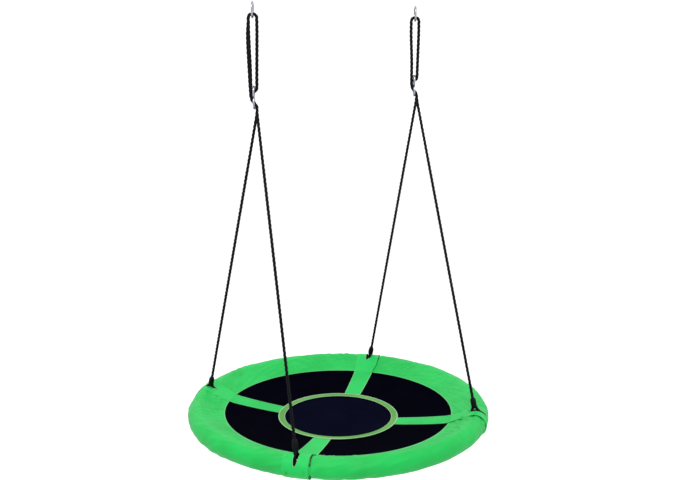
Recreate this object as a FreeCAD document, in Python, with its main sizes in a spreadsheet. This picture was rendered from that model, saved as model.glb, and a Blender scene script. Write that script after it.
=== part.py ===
"""Saucer nest swing: a padded round rim with a dished mat, hung on four ropes.

Origin: midway between the two hanging rings, at the height of the seats inside their tops.
+Z is up, +X runs from the left ring to the right ring, and -Y is the front.
Corners are where the ropes meet the rim, a quarter turn apart.
"""
import FreeCAD, Part
import math
import os

V = FreeCAD.Vector
UP = V(0, 0, 1)

# Name, value in mm (or a formula of other sizes) and meaning.
SIZES = [
    ("outer_diameter", 1000.0, "rim, outside to outside"),
    ("rim_section", 66.0, "padded rim, thickness of the round section"),
    ("cover_wall", 1.7, "cover cloth with its lining"),
    ("cloth_gap", 0.3, "air between stacked soft layers"),
    ("tube_diameter", 32.0, "steel rim tube"),
    ("tube_wall", 1.5, "steel rim tube wall"),
    ("fit_gap", 0.1, "spigot in tube, radius to radius"),
    ("spigot_length", 80.0, "swaged spigot between two tube quarters"),
    ("screw_diameter", 5.0, "tube joint screw"),
    ("screw_head", 9.0, "tube joint screw head"),
    ("screw_length", 9.0, "tube joint screw below its head"),
    ("mat_depth", 40.0, "mat's middle below the tube's centre plane"),
    ("mat_wall", 3.0, "mat cloth with padding"),
    ("strap_wall", 2.0, "webbing thickness"),
    ("mat_gap", 3.0, "between the rim's padding and the mat's sewn edge"),
    ("mat_radius", "=outer_diameter / 2 - rim_section - mat_gap", "mat's sewn edge"),
    ("mat_rise", 43.48, "mat's sewn edge above its middle"),
    ("mat_curve", "=(mat_radius ^ 2 + mat_rise ^ 2) / (2 * mat_rise)", "radius of the mat's shallow dish"),
    ("flap_reach", 49.0, "cover's flap, from the mat's edge inwards"),
    ("flap_radius", "=mat_radius - flap_reach", "inner edge of the cover's flap"),
    ("band_inner", 181.0, "centre band, inner edge"),
    ("band_outer", 200.0, "centre band, outer edge"),
    ("strap_inner_width", 55.0, "strap at the centre band"),
    ("strap_outer_width", 68.0, "strap at the rim"),
    ("patch_width", 82.0, "patch wrapped round the rim at each rope"),
    ("rope_diameter", 10.0, "braided rope"),
    ("rope_gap", 0.8, "rope beside the metal that it goes round"),
    ("slot_margin", 3.0, "rope slot's end inside the rim's silhouette"),
    ("slot_length", "=rim_section - 2 * slot_margin", "rope slot across the rim"),
    ("slot_play", 8.0, "rope slot's side beside the rope"),
    ("slot_width", "=rope_diameter + 2 * slot_play", "rope slot along the rim"),
    ("pair_gap", 0.4, "between two ropes side by side"),
    ("tail_gap", 0.6, "rope tail, further out than the leg beside the adjuster"),
    ("eye_half_width", "=rim_section / 2 - cover_wall - rope_diameter / 2", "rope eye at its widest"),
    ("eye_shoulder", 6.0, "that widest place above the tube's centre"),
    ("eye_radius", "=tube_diameter / 2 + rope_gap + rope_diameter / 2", "rope eye under the tube"),
    ("ferrule_diameter", 19.0, "crimped sleeve"),
    ("ferrule_length", 34.0, "crimped sleeve"),
    ("ferrule_rise", 9.0, "sleeve's foot above the round section, along the rope"),
    ("ferrule_height", "=rim_section / 2 + ferrule_rise", "sleeve's foot above the tube's centre"),
    ("joint_gap", 1.5, "rope leg above its sleeve, where the rope bends"),
    ("hang_drop", 1319.0, "ring seats above the tube's centre plane"),
    ("ring_spacing", 584.0, "left ring to right ring"),
    ("ring_wire", 6.0, "hanging ring wire"),
    ("ring_diameter", 52.0, "hanging ring, outside"),
    ("hardware_turn", 30.0, "rings and adjusters turned about the vertical, degrees"),
    ("bight_radius", 12.5, "rope bend over the ring"),
    ("bight_gap", 2.5, "rope above the ring wire at rest"),
    ("bend_gap", 3.2, "between a bend and the straight rope below it"),
    ("adjuster_wire", 6.0, "figure-eight adjuster wire"),
    ("adjuster_eye", 27.0, "figure-eight adjuster, inside each eye"),
    ("left_adjuster_drop", 276.0, "left adjuster's waist below the ring seats"),
    ("right_adjuster_drop", 251.0, "right adjuster's waist below the ring seats"),
]

doc = FreeCAD.newDocument("SaucerNestSwing")
sheet = doc.addObject("Spreadsheet::Sheet", "Sizes")
for row, (alias, value, meaning) in enumerate(SIZES, start=1):
    sheet.set(f"A{row}", alias)
    sheet.set(f"B{row}", str(value))
    sheet.setAlias(f"B{row}", alias)
    sheet.set(f"C{row}", meaning)
doc.recompute()


def size(alias):
    """A dimension from the sheet, as a number."""
    return float(sheet.get(alias))


CORNERS = {"right_back": 45.0, "left_back": 135.0, "left_front": 225.0, "right_front": 315.0}
RIM_RADIUS = "(Sizes.outer_diameter - Sizes.rim_section) / 2"
rim_radius = (size("outer_diameter") - size("rim_section")) / 2
rim_z = -size("hang_drop")
rope_radius = size("rope_diameter") / 2
parts = []


def keep(thing, label):
    """Name a finished sub-part; its label is also its file's name."""
    thing.Label = label
    parts.append(thing)
    return thing


def along_arc(length, radius):
    """Degrees that a length takes up on a circle."""
    return math.degrees(length / radius)


def primitive(kind, name, sizes, z="0", turn=0.0):
    """A Part primitive with bound sizes, raised z above the tube's centre plane."""
    thing = doc.addObject(kind, name)
    for prop, text in sizes.items():
        thing.setExpression(prop, text)
    thing.Placement = FreeCAD.Placement(V(0, 0, 0), FreeCAD.Rotation(UP, turn))
    thing.setExpression("Placement.Base.z", f"{z} - Sizes.hang_drop")
    return thing


def boolean(kind, name, base, tool):
    """Part::Cut, Part::Common or Part::Fuse of two objects."""
    thing = doc.addObject(kind, name)
    thing.Base = base
    thing.Tool = tool
    return thing


def torus_arc(name, section, start, sweep):
    """A solid arc of the rim with a round section; section is its radius as text."""
    sizes = {"Radius1": RIM_RADIUS, "Radius2": section, "Angle3": f"{sweep:.9f}"}
    return primitive("Part::Torus", name, sizes, turn=start)


def hollow_arc(name, outer, inner, start, sweep):
    """An arc of the rim with a round hollow section."""
    outside = torus_arc(name + "_outside", outer, start, sweep)
    inside = torus_arc(name + "_inside", inner, start - 1, sweep + 2)
    return boolean("Part::Cut", name, outside, inside)


def dish_layer(name, below, wall):
    """A spherical layer of the dish, its lower face at the height below over the mat's face."""
    lower = f"Sizes.mat_curve - ({below})"
    centre = "Sizes.mat_curve - Sizes.mat_depth"
    outside = primitive("Part::Sphere", name + "_lower", {"Radius": lower}, z=centre)
    inside = primitive("Part::Sphere", name + "_upper", {"Radius": f"{lower} - ({wall})"}, z=centre)
    return boolean("Part::Cut", name + "_layer", outside, inside)


def annulus(name, inner, outer, start=0.0, sweep=360.0):
    """An upright ring sector tall enough to cut a piece out of the dish."""
    shape = {"Radius": outer, "Height": "4 * Sizes.mat_depth", "Angle": f"{sweep:.9f}"}
    disc = primitive("Part::Cylinder", name + "_disc", shape, z="-2 * Sizes.mat_depth", turn=start)
    if inner is None:
        return disc
    hole = primitive("Part::Cylinder", name + "_hole",
                     {"Radius": inner, "Height": "6 * Sizes.mat_depth"}, z="-3 * Sizes.mat_depth")
    return boolean("Part::Cut", name + "_ring", disc, hole)


# ---------------------------------------------------------------- rim tube, spigots and screws
TUBE = "Sizes.tube_diameter / 2"
BORE = "Sizes.tube_diameter / 2 - Sizes.tube_wall"
screw_angle = along_arc(size("spigot_length") / 4, rim_radius)


def screw_hole(name, turn):
    """An upright drill through the lower wall of tube and spigot."""
    shape = {"Radius": "Sizes.screw_diameter / 2 + Sizes.fit_gap", "Height": "Sizes.tube_diameter"}
    drill = primitive("Part::Cylinder", name, shape, z="-Sizes.tube_diameter", turn=turn + 45.0)
    radians = math.radians(turn)
    drill.setExpression("Placement.Base.x", f"{RIM_RADIUS} * {math.cos(radians):.9f}")
    drill.setExpression("Placement.Base.y", f"{RIM_RADIUS} * {math.sin(radians):.9f}")
    return drill


screws = []
for number in range(4):
    start = 90.0 * number
    pipe = hollow_arc(f"Pipe{number}", TUBE, BORE, start, 90.0)
    tube = boolean("Part::Cut", f"Tube{number}", pipe, screw_hole(f"TubeDrill{number}", start + screw_angle))
    keep(tube, f"rim_tube_{number + 1}")

    spigot_sweep = along_arc(size("spigot_length"), rim_radius)
    sleeve = hollow_arc(f"Sleeve{number}", f"{BORE} - Sizes.fit_gap",
                        f"{BORE} - Sizes.fit_gap - Sizes.tube_wall", start - spigot_sweep / 2, spigot_sweep)
    spigot = boolean("Part::Cut", f"Spigot{number}", sleeve,
                     screw_hole(f"SpigotDrill{number}", start + screw_angle))
    keep(spigot, f"tube_spigot_{number + 1}")

    radians = math.radians(start + screw_angle)
    tube_foot_z = rim_z - size("tube_diameter") / 2
    foot = V(rim_radius * math.cos(radians), rim_radius * math.sin(radians), tube_foot_z)
    shank = Part.makeCylinder(size("screw_diameter") / 2, size("screw_length"), foot, UP)
    head_height = size("screw_head") / 3
    head = Part.makeCylinder(size("screw_head") / 2, head_height, foot - UP * head_height, UP)
    screws.append(shank.fuse(head).removeSplitter())

joint_screws = doc.addObject("Part::Feature", "JointScrews")
joint_screws.Shape = Part.makeCompound(screws)
keep(joint_screws, "joint_screws")

# ---------------------------------------------------------------- padding, cover and patches
COVER = "Sizes.rim_section / 2"
LINING = "Sizes.rim_section / 2 - Sizes.cover_wall"
slot_half = along_arc(size("slot_width") / 2, rim_radius)
patch_half = along_arc(size("patch_width") / 2, rim_radius)
seam = along_arc(size("cloth_gap"), rim_radius)
SCREW_ROOM_SWEEP = 4.0

for number, (corner, angle) in enumerate(CORNERS.items()):
    foam = hollow_arc(f"Foam{number}", f"{LINING} - Sizes.cloth_gap", f"{TUBE} + Sizes.cloth_gap",
                      angle + slot_half, 90.0 - 2 * slot_half)
    screw_room = primitive("Part::Torus", f"ScrewRoom{number}",
                           {"Radius1": RIM_RADIUS, "Radius2": "Sizes.screw_head",
                            "Angle3": f"{SCREW_ROOM_SWEEP}"},
                           z="-Sizes.tube_diameter / 2", turn=angle + 45.0)
    keep(boolean("Part::Cut", f"Padding{number}", foam, screw_room), f"foam_{number + 1}")

    cover_start = angle + patch_half + seam
    cover_sweep = 90.0 - 2 * (patch_half + seam)
    skin = hollow_arc(f"Skin{number}", COVER, LINING, cover_start, cover_sweep)
    keep(skin, f"rim_cover_{number + 1}")

    flap_cut = annulus(f"Flap{number}", "Sizes.flap_radius", "Sizes.mat_radius", cover_start, cover_sweep)
    flap = boolean("Part::Common", f"Flap{number}",
                   dish_layer(f"Flap{number}", "Sizes.cloth_gap", "Sizes.cover_wall"), flap_cut)
    keep(flap, f"cover_flap_{number + 1}")

    wrap = hollow_arc(f"Wrap{number}", COVER, LINING, angle - patch_half, 2 * patch_half)
    opening = doc.addObject("Part::Box", f"Opening{number}")
    opening.setExpression("Length", "Sizes.slot_length")
    opening.setExpression("Width", "Sizes.slot_width")
    opening.setExpression("Height", "Sizes.rim_section / 2")
    turned = FreeCAD.Rotation(UP, angle)
    corner_low = turned.multVec(V(rim_radius - size("slot_length") / 2, -size("slot_width") / 2, 0))
    opening.Placement = FreeCAD.Placement(corner_low + V(0, 0, rim_z), turned)
    keep(boolean("Part::Cut", f"Patch{number}", wrap, opening), f"patch_{corner}")

# ---------------------------------------------------------------- mat, straps and centre band
BAND_MIDDLE = "(Sizes.band_inner + Sizes.band_outer) / 2"
MAT_LOW = "-Sizes.mat_wall"
STRAP_LOW = "Sizes.cloth_gap"

panel = boolean("Part::Common", "CentrePanel", dish_layer("Centre", MAT_LOW, "Sizes.mat_wall"),
                annulus("Centre", None, BAND_MIDDLE))
keep(panel, "centre_panel")

band = boolean("Part::Common", "CentreBand", dish_layer("Band", STRAP_LOW, "Sizes.strap_wall"),
               annulus("Band", "Sizes.band_inner", "Sizes.band_outer"))
keep(band, "centre_band")

for number, (corner, angle) in enumerate(CORNERS.items()):
    quadrant = boolean("Part::Common", f"Quadrant{number}",
                       dish_layer(f"Mat{number}", MAT_LOW, "Sizes.mat_wall"),
                       annulus(f"Mat{number}", BAND_MIDDLE, "Sizes.mat_radius", angle, 90.0))
    keep(quadrant, f"mat_panel_{number + 1}")

    taper = doc.addObject("Part::Wedge", f"Taper{number}")
    limits = {
        "Ymin": "0", "Ymax": "Sizes.mat_radius - Sizes.band_outer",
        "Xmin": "-Sizes.strap_inner_width / 2", "Xmax": "Sizes.strap_inner_width / 2",
        "X2min": "-Sizes.strap_outer_width / 2", "X2max": "Sizes.strap_outer_width / 2",
        "Zmin": "-2 * Sizes.mat_depth", "Zmax": "2 * Sizes.mat_depth",
        "Z2min": "-2 * Sizes.mat_depth", "Z2max": "2 * Sizes.mat_depth",
    }
    for prop, text in limits.items():
        taper.setExpression(prop, text)
    outward = FreeCAD.Rotation(UP, angle).multVec(V(1, 0, 0))
    taper.Placement = FreeCAD.Placement(outward * (size("band_outer") + size("cloth_gap")) + V(0, 0, rim_z),
                                        FreeCAD.Rotation(UP, angle - 90.0))
    strap = boolean("Part::Common", f"StrapPiece{number}",
                    dish_layer(f"Strap{number}", STRAP_LOW, "Sizes.strap_wall"), taper)
    keep(strap, f"strap_{corner}")

# ---------------------------------------------------------------- hanging rings and adjusters
turn = math.radians(size("hardware_turn"))
ACROSS = V(math.cos(turn), -math.sin(turn), 0)
FORWARD = V(-math.sin(turn), -math.cos(turn), 0)
ring_radius = (size("ring_diameter") - size("ring_wire")) / 2
ring_centre_z = size("ring_wire") / 2 - ring_radius
wire_z = ring_centre_z - ring_radius
FACING = FreeCAD.Rotation(UP, ACROSS)
SIDES = {"left": -1.0, "right": 1.0}


def side_point(side, across, forward, height):
    """A point beside a ring's axis: across and forward follow the hardware's turn."""
    axis = V(SIDES[side] * size("ring_spacing") / 2, 0, 0)
    return axis + ACROSS * across + FORWARD * forward + UP * height


eye_reach = (size("adjuster_eye") + size("adjuster_wire")) / 2
for side in SIDES:
    ring = doc.addObject("Part::Torus", f"Ring_{side}")
    ring.setExpression("Radius1", "(Sizes.ring_diameter - Sizes.ring_wire) / 2")
    ring.setExpression("Radius2", "Sizes.ring_wire / 2")
    ring.Placement = FreeCAD.Placement(side_point(side, 0, 0, ring_centre_z), FACING)
    keep(ring, f"{side}_ring")

    waist_z = -size(f"{side}_adjuster_drop")
    eyes = []
    for place in (-1, 1):
        eye = doc.addObject("Part::Torus", f"Eye_{side}_{place + 1}")
        eye.setExpression("Radius1", "(Sizes.adjuster_eye + Sizes.adjuster_wire) / 2")
        eye.setExpression("Radius2", "Sizes.adjuster_wire / 2")
        eye.Placement = FreeCAD.Placement(side_point(side, 0, 0, waist_z + place * eye_reach), FACING)
        eyes.append(eye)
    keep(boolean("Part::Fuse", f"Adjuster_{side}", *eyes), f"{side}_adjuster")


# ---------------------------------------------------------------- ropes
LONGEST_SHARE = 0.45


def route(points, radii):
    """Straight runs joined by tangent arcs. A bend without a radius takes what the shorter run allows."""
    edges = []
    tip = points[0]
    used = []
    for index in range(1, len(points) - 1):
        before = (points[index - 1] - points[index]).normalize()
        after = (points[index + 1] - points[index]).normalize()
        half_turn = (math.pi - before.getAngle(after)) / 2
        shorter = min(points[index].distanceToPoint(points[index - 1]),
                      points[index].distanceToPoint(points[index + 1]))
        radius = radii.get(index, LONGEST_SHARE * shorter / math.tan(half_turn))
        used.append(radius)
        reach = radius * math.tan(half_turn)
        entry = points[index] + before * reach
        leave = points[index] + after * reach
        inward = (before + after).normalize()
        middle = points[index] + inward * (radius / math.cos(half_turn) - radius)
        edges.append(Part.LineSegment(tip, entry).toShape())
        edges.append(Part.Arc(entry, middle, leave).toShape())
        tip = leave
    edges.append(Part.LineSegment(tip, points[-1]).toShape())
    return Part.Wire(edges), used


def rope(label, points, radii=None):
    """A round rope along a route, checked by comparing its volume with its section times length."""
    path, used = route(points, radii or {})
    start = path.Edges[0]
    heading = start.tangentAt(start.FirstParameter)
    section = Part.Wire([Part.makeCircle(rope_radius, start.valueAt(start.FirstParameter), heading)])
    solid = path.makePipeShell([section], True, False)
    expected = math.pi * rope_radius ** 2 * path.Length
    print(f"{label}: length {path.Length:.1f}, radii {[round(r, 1) for r in used]}, "
          f"volume ratio {solid.Volume / expected:.4f}")
    thing = doc.addObject("Part::Feature", label + "_rope")
    thing.Shape = solid
    return keep(thing, label)


bend_z = wire_z + size("ring_wire") / 2 + size("bight_gap") + rope_radius - size("bight_radius")
strand_top = bend_z - size("bend_gap")
pair_offset = rope_radius + size("pair_gap") / 2
beside = size("adjuster_wire") / 2 + rope_radius + size("rope_gap")
tail_beside = beside + size("tail_gap")

# The eye's sides touch the circle that the rope makes under the tube
shoulder = V(size("eye_half_width"), size("eye_shoulder"), 0)
touch = math.atan2(shoulder.y, shoulder.x) - math.acos(size("eye_radius") / shoulder.Length)
eye_foot = size("eye_radius") * math.tan((math.pi / 2 + touch) / 2)
foot_radius = size("eye_radius") * 0.98
shoulder_radius = size("eye_radius") * 0.75

# Heights of a rope's bends above the adjuster's waist, in reaches of one of its eyes
KNEE = -2.6
UNDER_LOWER_EYE = -1.5
THROUGH_LOWER_EYE = -0.5
THROUGH_UPPER_EYE = 1.0
STRAND_FOOT = 2.0
TAIL_BEND = 3.0

for corner, angle in CORNERS.items():
    side = corner.split("_")[0]
    forward = pair_offset if corner.endswith("front") else -pair_offset
    waist_z = -size(f"{side}_adjuster_drop")

    bend = doc.addObject("Part::Torus", f"Bend_{corner}")
    bend.setExpression("Radius1", "Sizes.bight_radius")
    bend.setExpression("Radius2", "Sizes.rope_diameter / 2")
    bend.setExpression("Angle3", "180")
    plane = FreeCAD.Rotation(ACROSS, UP, FORWARD, "ZXY")
    bend.Placement = FreeCAD.Placement(side_point(side, 0, forward, bend_z), plane)
    keep(bend, f"rope_bend_{corner}")

    tail = [
        side_point(side, -beside / 3, forward, waist_z + THROUGH_UPPER_EYE * eye_reach),
        side_point(side, tail_beside, forward, waist_z + THROUGH_UPPER_EYE * eye_reach),
        side_point(side, tail_beside, forward, waist_z + TAIL_BEND * eye_reach),
        side_point(side, size("bight_radius"), forward, strand_top),
    ]
    rope(f"rope_tail_{corner}", tail, {1: rope_radius + size("adjuster_wire") / 2})

    knee = side_point(side, beside, forward, waist_z + KNEE * eye_reach)
    radians = math.radians(angle)
    anchor = V(rim_radius * math.cos(radians), rim_radius * math.sin(radians), rim_z)
    along = (knee - anchor).normalize()
    sleeve_top = size("ferrule_height") + size("ferrule_length")
    leg = [
        anchor + along * (sleeve_top + size("joint_gap")),
        knee,
        side_point(side, beside, forward, waist_z + UNDER_LOWER_EYE * eye_reach),
        side_point(side, -beside, forward, waist_z + THROUGH_LOWER_EYE * eye_reach),
        side_point(side, -beside, forward, waist_z + STRAND_FOOT * eye_reach),
        side_point(side, -size("bight_radius"), forward, strand_top),
    ]
    rope(f"rope_leg_{corner}", leg)

    ferrule = doc.addObject("Part::Cylinder", f"Ferrule_{corner}")
    ferrule.setExpression("Radius", "Sizes.ferrule_diameter / 2")
    ferrule.setExpression("Height", "Sizes.ferrule_length")
    ferrule_foot = anchor + along * size("ferrule_height")
    ferrule.Placement = FreeCAD.Placement(ferrule_foot, FreeCAD.Rotation(UP, along))
    keep(ferrule, f"ferrule_{corner}")

    outward = V(math.cos(radians), math.sin(radians), 0)
    level = (outward - along * outward.dot(along)).normalize()
    half_eye = [
        (rope_radius, size("ferrule_height") + rope_radius),
        (size("eye_half_width"), size("eye_shoulder")),
        (eye_foot, -size("eye_radius")),
    ]
    outline = half_eye + [(-across, height) for across, height in reversed(half_eye)]
    rope(f"rope_eye_{corner}", [anchor + level * across + along * height for across, height in outline],
         {1: shoulder_radius, 2: foot_radius, 3: foot_radius, 4: shoulder_radius})

# ---------------------------------------------------------------- checks and files
doc.recompute()
for thing in doc.Objects:
    faults = [state for state in thing.State if state in ("Invalid", "Error")]
    if faults:
        raise RuntimeError(f"{thing.Name} is {faults}")

os.makedirs("parts", exist_ok=True)
for thing in parts:
    if thing.Shape.isNull() or not thing.Shape.isValid() or thing.Shape.Volume <= 0:
        raise RuntimeError(f"{thing.Label} has no valid solid")
for thing in parts:
    thing.Shape.exportStep(f"parts/{thing.Label}.step")
print(len(parts), "sub-parts written")
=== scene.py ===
# %% [markdown]
# # A saucer nest swing
# The swing hangs from two steel rings. Its frame, hardware and moving joints come from a finished
# engineering model. Here we give it its cloth, its webbing and its ropes, and light it like a
# catalogue picture. First we load the fixed frame and write down its box.

# %% Load the frame
import math

import bmesh
import bpy
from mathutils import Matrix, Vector, noise


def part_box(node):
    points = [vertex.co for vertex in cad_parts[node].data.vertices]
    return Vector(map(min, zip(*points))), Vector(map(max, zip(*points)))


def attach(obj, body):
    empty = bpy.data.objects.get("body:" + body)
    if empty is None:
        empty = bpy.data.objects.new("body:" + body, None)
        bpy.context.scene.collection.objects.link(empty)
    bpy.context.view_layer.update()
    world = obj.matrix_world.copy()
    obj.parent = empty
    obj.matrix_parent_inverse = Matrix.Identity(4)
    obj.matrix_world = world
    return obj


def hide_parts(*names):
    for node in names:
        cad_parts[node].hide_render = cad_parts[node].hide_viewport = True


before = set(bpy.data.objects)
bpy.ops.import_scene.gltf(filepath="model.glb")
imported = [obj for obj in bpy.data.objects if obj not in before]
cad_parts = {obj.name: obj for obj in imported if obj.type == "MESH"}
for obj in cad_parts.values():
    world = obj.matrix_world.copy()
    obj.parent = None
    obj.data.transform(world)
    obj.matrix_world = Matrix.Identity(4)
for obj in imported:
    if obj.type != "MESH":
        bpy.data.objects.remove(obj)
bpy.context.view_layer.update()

# %% [markdown]
# ## Sizes
# Everything hangs from the origin, which lies between the two rings. The rim's tube gives us the
# swing's own middle: every cloth piece is laid out round that point, with angles counted from +X.

# %% Places taken from the frame
MM = 0.001
tube_low, tube_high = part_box("rim_tube_1")
cover_low, cover_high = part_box("rim_cover_1")
RIM_Z = (tube_low.z + tube_high.z) / 2
SECTION = (cover_high.z - cover_low.z) / 2
RIM_RADIUS = 500 * MM - SECTION
MAT_CURVE = 2158 * MM
MAT_DEPTH = 40 * MM
MAT_EDGE = 431 * MM
FLAP_EDGE = 382 * MM
BAND_INNER = 181 * MM
BAND_OUTER = 200 * MM
CORNERS = {"right_back": 45, "left_back": 135, "left_front": 225, "right_front": 315}
print("rim height", RIM_Z, "section radius", SECTION)


def mat_height(radius):
    """Height of the mat's face at a distance from the middle."""
    drop = math.sqrt(MAT_CURVE ** 2 - radius ** 2)
    return RIM_Z - MAT_DEPTH + MAT_CURVE - drop


def polar(radius, angle, height):
    """A point by distance and angle from the swing's middle, in metres and radians."""
    return Vector((radius * math.cos(angle), radius * math.sin(angle), height))


# %% [markdown]
# ## The camera
# The camera stands about 1.2 metres above the rim, in front and to the left, about three metres
# away, with a normal lens. It comes first, because every later look is judged through it.

# %% Camera
camera_data = bpy.data.cameras.new("view_camera")
camera_data.sensor_width = 36
camera_data.lens = 48.96
camera = bpy.data.objects.new("view_camera", camera_data)
bpy.context.scene.collection.objects.link(camera)
camera.location = (-1.4923, -2.5469, RIM_Z + 1.1718)
gaze = Vector((0.49745, 0.84470, -0.19754))
camera.rotation_euler = gaze.to_track_quat("-Z", "Y").to_euler()
bpy.context.scene.camera = camera
print("camera at", tuple(round(value, 3) for value in camera.location))

# %% [markdown]
# ## Helpers
# Operators act on whatever is selected, and the frame's parts are selected after loading, so each
# step starts by deselecting everything. A cloth piece starts as a flat grid, cut to size, which is
# then laid over its shape: that is how the real cover is made, and it leaves a tidy grid of faces
# whose map is in metres, so that every weave has the same scale.

# %% Small helpers


def deselect():
    """Nothing selected, in object mode."""
    if bpy.context.object and bpy.context.object.mode != "OBJECT":
        bpy.ops.object.mode_set(mode="OBJECT")
    bpy.ops.object.select_all(action="DESELECT")


def pick(piece):
    """Select one piece and make it active."""
    deselect()
    piece.select_set(True)
    bpy.context.view_layer.objects.active = piece


def apply_modifiers(piece):
    """Apply every modifier of a piece, in order."""
    pick(piece)
    for modifier in list(piece.modifiers):
        bpy.ops.object.modifier_apply(modifier=modifier.name)


def cloth(name, columns, rows, place, flat):
    """A flat grid laid over a shape.

    place(u, v) gives each point; flat is the cloth's size, or its map from (u, v) to metres.
    """
    deselect()
    bpy.ops.mesh.primitive_grid_add(x_subdivisions=columns, y_subdivisions=rows, size=1)
    piece = bpy.context.object
    piece.name = name
    mesh = piece.data
    mesh.name = name
    spots = [(vertex.co.x + 0.5, vertex.co.y + 0.5) for vertex in mesh.vertices]
    for vertex, (u, v) in zip(mesh.vertices, spots):
        vertex.co = place(u, v)
    layer = mesh.uv_layers.active.data
    for loop in mesh.loops:
        u, v = spots[loop.vertex_index]
        layer[loop.index].uv = flat(u, v) if callable(flat) else (u * flat[0], v * flat[1])
    return piece


BEHIND = -1.0
AHEAD = 1.0


def thicken(piece, wall, offset=BEHIND, bevel=0.0):
    """Give a cloth its thickness, behind or ahead of its grid's face, and softened edges."""
    solid = piece.modifiers.new("wall", "SOLIDIFY")
    solid.thickness = wall
    solid.offset = offset
    solid.use_even_offset = True
    if bevel:
        edge = piece.modifiers.new("edge", "BEVEL")
        edge.width = bevel
        edge.segments = 2
        edge.limit_method = "ANGLE"
    apply_modifiers(piece)
    outward(piece)


def outward(piece):
    """Turn every face outwards."""
    pick(piece)
    bpy.ops.object.mode_set(mode="EDIT")
    bpy.ops.mesh.select_all(action="SELECT")
    bpy.ops.mesh.normals_make_consistent(inside=False)
    bpy.ops.object.mode_set(mode="OBJECT")


def smooth(piece, degrees=40):
    """Smooth shading, with sharp edges kept."""
    pick(piece)
    bpy.ops.object.shade_smooth_by_angle(angle=math.radians(degrees))


def dress(piece, material, body="saucer"):
    """Give a piece its material and the body it moves with."""
    piece.data.materials.clear()
    piece.data.materials.append(material)
    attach(piece, body)


print("helpers ready")


# %% [markdown]
# ## Materials
# The cover is coated Oxford cloth, the straps are ribbed webbing, the mat is matt padded cloth and
# the ropes are spun from fine fibres. Each cloth material weaves two wave patterns on the
# piece's own map, in metres, and adds broad soft patches of lighter and darker colour, as
# handling and light creases leave them.

# %% Node helpers


def new_material(name, rough, sheen=0.0, metallic=0.0, specular=0.5):
    """A material with its shader; whole-surface values sit on the shader's own sockets."""
    material = bpy.data.materials.new(name)
    material.use_nodes = True
    shader = material.node_tree.nodes["Principled BSDF"]
    shader.inputs["Roughness"].default_value = rough
    shader.inputs["Metallic"].default_value = metallic
    shader.inputs["Specular IOR Level"].default_value = specular
    shader.inputs["Sheen Weight"].default_value = sheen
    shader.inputs["Sheen Roughness"].default_value = 0.4
    return material, material.node_tree.nodes, material.node_tree.links, shader


def mapped(nodes, links, source, scale):
    """Texture coordinates of one kind, scaled."""
    coordinates = nodes.new("ShaderNodeTexCoord")
    mapping = nodes.new("ShaderNodeMapping")
    mapping.inputs["Scale"].default_value = scale
    links.new(coordinates.outputs[source], mapping.inputs["Vector"])
    return mapping.outputs["Vector"]


def ramp(nodes, links, value, stops):
    """A colour ramp: stops are (position, colour) pairs."""
    node = nodes.new("ShaderNodeValToRGB")
    node.color_ramp.elements[0].position = stops[0][0]
    node.color_ramp.elements[0].color = (*stops[0][1], 1)
    node.color_ramp.elements[1].position = stops[-1][0]
    node.color_ramp.elements[1].color = (*stops[-1][1], 1)
    for position, colour in stops[1:-1]:
        element = node.color_ramp.elements.new(position)
        element.color = (*colour, 1)
    links.new(value, node.inputs["Fac"])
    return node.outputs["Color"]


def noise_value(nodes, links, vector, scale, detail=3.0):
    """Soft noise as one number."""
    node = nodes.new("ShaderNodeTexNoise")
    node.inputs["Scale"].default_value = scale
    node.inputs["Detail"].default_value = detail
    links.new(vector, node.inputs["Vector"])
    return node.outputs["Fac"]


def math_node(nodes, links, operation, *values):
    """Values joined by one operation."""
    node = nodes.new("ShaderNodeMath")
    node.operation = operation
    for socket, value in zip(node.inputs, values):
        if isinstance(value, (int, float)):
            socket.default_value = value
        else:
            links.new(value, socket)
    return node.outputs["Value"]


def stripes(nodes, links, vector, scale, direction):
    """Evenly spaced soft stripes, from 0 to 1."""
    node = nodes.new("ShaderNodeTexWave")
    node.bands_direction = direction
    node.inputs["Scale"].default_value = scale
    links.new(vector, node.inputs["Vector"])
    return node.outputs["Fac"]


def bump(nodes, links, shader, height, strength, distance):
    """Raise the surface by a height value."""
    node = nodes.new("ShaderNodeBump")
    node.inputs["Strength"].default_value = strength
    node.inputs["Distance"].default_value = distance
    links.new(height, node.inputs["Height"])
    links.new(node.outputs["Normal"], shader.inputs["Normal"])


def woven(name, dark, light, rough, threads, sheen=0.2, strength=0.35, specular=0.4):
    """Plain-woven cloth: warp and weft stripes, broad colour patches and fine fibre noise."""
    material, nodes, links, shader = new_material(name, rough, sheen=sheen, specular=specular)
    flat = mapped(nodes, links, "UV", (1, 1, 1))
    warp = stripes(nodes, links, flat, threads, "X")
    weft = stripes(nodes, links, flat, threads, "Y")
    weave = math_node(nodes, links, "MULTIPLY", warp, weft)
    patches = noise_value(nodes, links, mapped(nodes, links, "Object", (1, 1, 1)), 9.0, 5.0)
    fibres = noise_value(nodes, links, flat, 900.0, 2.0)
    tone = math_node(nodes, links, "ADD", math_node(nodes, links, "MULTIPLY", patches, 0.75),
                     math_node(nodes, links, "MULTIPLY", weave, 0.25))
    links.new(ramp(nodes, links, tone, [(0.25, dark), (0.75, light)]), shader.inputs["Base Color"])
    height = math_node(nodes, links, "ADD", weave, math_node(nodes, links, "MULTIPLY", fibres, 0.4))
    bump(nodes, links, shader, height, strength, 0.0004)
    return material


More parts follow.
